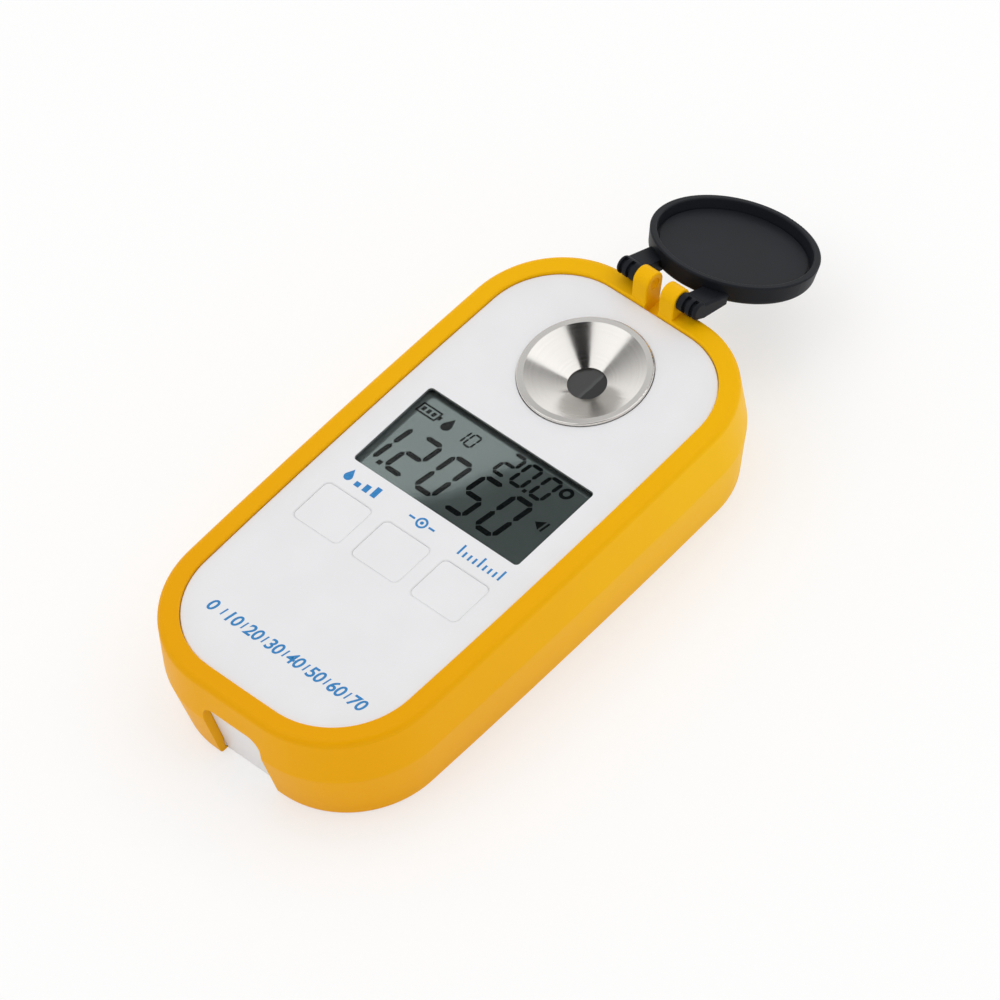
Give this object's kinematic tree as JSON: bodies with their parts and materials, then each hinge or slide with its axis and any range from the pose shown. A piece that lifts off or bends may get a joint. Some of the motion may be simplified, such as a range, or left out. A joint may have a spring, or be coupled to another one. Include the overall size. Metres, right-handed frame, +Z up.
{
  "type": "digital brix refractometer",
  "caption": "Pocket digital refractometer: white housing in a yellow rubber sleeve, recessed steel sample stage over a prism, hinged black stage lid, grey display and push buttons.",
  "frame": {"origin": "middle of the flat underside of the housing", "axes": "+Z up out of the display face, +Y along the body towards the lid hinge, +X to the right when the display is read; the lid is stored open"},
  "size_m": [0.0568, 0.143, 0.027],
  "materials": {
    "white_plastic": "fine satin moulded plastic",
    "sleeve_rubber": "satin soft moulded rubber, yellow-orange",
    "lid_plastic": "fine matt moulded plastic, black",
    "stage_steel": "turned and polished stainless steel",
    "prism_glass": "polished optical glass",
    "seal_rubber": "soft, black",
    "carrier_plastic": "light-absorbing matt black",
    "led_resin": "clear amber resin",
    "board_laminate": "green solder mask",
    "lens_glass": "polished",
    "sensor_resin": "dark resin under a clear face",
    "ribbon_film": "flexible film",
    "bead_resin": "dipped epoxy bead with tinned wires",
    "window_clear": "clear acrylic",
    "display_glass": "grey-green liquid crystal cell",
    "zebra_rubber": "striped conductive rubber",
    "bezel_plastic": "matt black",
    "chip_resin": "matt moulded resin",
    "socket_plastic": "ivory moulded plastic",
    "switch_plastic": "black with a steel cap",
    "cell_jacket": "printed steel can without lettering",
    "contact_nickel": "nickel-plated spring steel",
    "screw_steel": "zinc-plated steel"
  },
  "bodies": {
    "housing": {"battery_cell": "cell_jacket", "board_screws": "screw_steel", "case_screws": "screw_steel", "display_bezel": "bezel_plastic", "display_glass": "display_glass", "display_window": "window_clear", "front_cover": "white_plastic", "led_board": "board_laminate", "lens": "lens_glass", "line_sensor": "sensor_resin", "main_board": "board_laminate", "measuring_led": "led_resin", "microcontroller": "chip_resin", "optics_block": "carrier_plastic", "optics_screws": "screw_steel", "plate_contact": "contact_nickel", "prism": "prism_glass", "prism_seal": "seal_rubber", "protective_sleeve": "sleeve_rubber", "rear_cover": "white_plastic", "ribbon_socket": "socket_plastic", "sample_stage": "stage_steel", "sensor_board": "board_laminate", "sensor_ribbon": "ribbon_film", "spring_contact": "contact_nickel", "switch_left": "switch_plastic", "switch_middle": "switch_plastic", "switch_right": "switch_plastic", "thermistor": "bead_resin", "zebra_strips": "zebra_rubber"},
    "lid": {"stage_lid": "lid_plastic"},
    "door": {"battery_door": "white_plastic"},
    "left_button": {"button_left": "white_plastic"},
    "middle_button": {"button_middle": "white_plastic"},
    "right_button": {"button_right": "white_plastic"}
  },
  "joints": [
    {"name": "lid_hinge", "type": "hinge", "parent": "housing", "child": "lid", "pos_m": [0, 0.0548, 0.0249], "axis": [1, 0, 0], "range_deg": [0, 205.7]},
    {"name": "door_slide", "type": "slide", "parent": "housing", "child": "door", "axis": [0, -1, 0], "range_m": [0, 0.047]},
    {"name": "left_button_press", "type": "slide", "parent": "housing", "child": "left_button", "axis": [0, 0, -1], "range_m": [0, 0.0003], "stiffness_N_per_m": 6000},
    {"name": "middle_button_press", "type": "slide", "parent": "housing", "child": "middle_button", "axis": [0, 0, -1], "range_m": [0, 0.0003], "stiffness_N_per_m": 6000},
    {"name": "right_button_press", "type": "slide", "parent": "housing", "child": "right_button", "axis": [0, 0, -1], "range_m": [0, 0.0003], "stiffness_N_per_m": 6000}
  ]
}
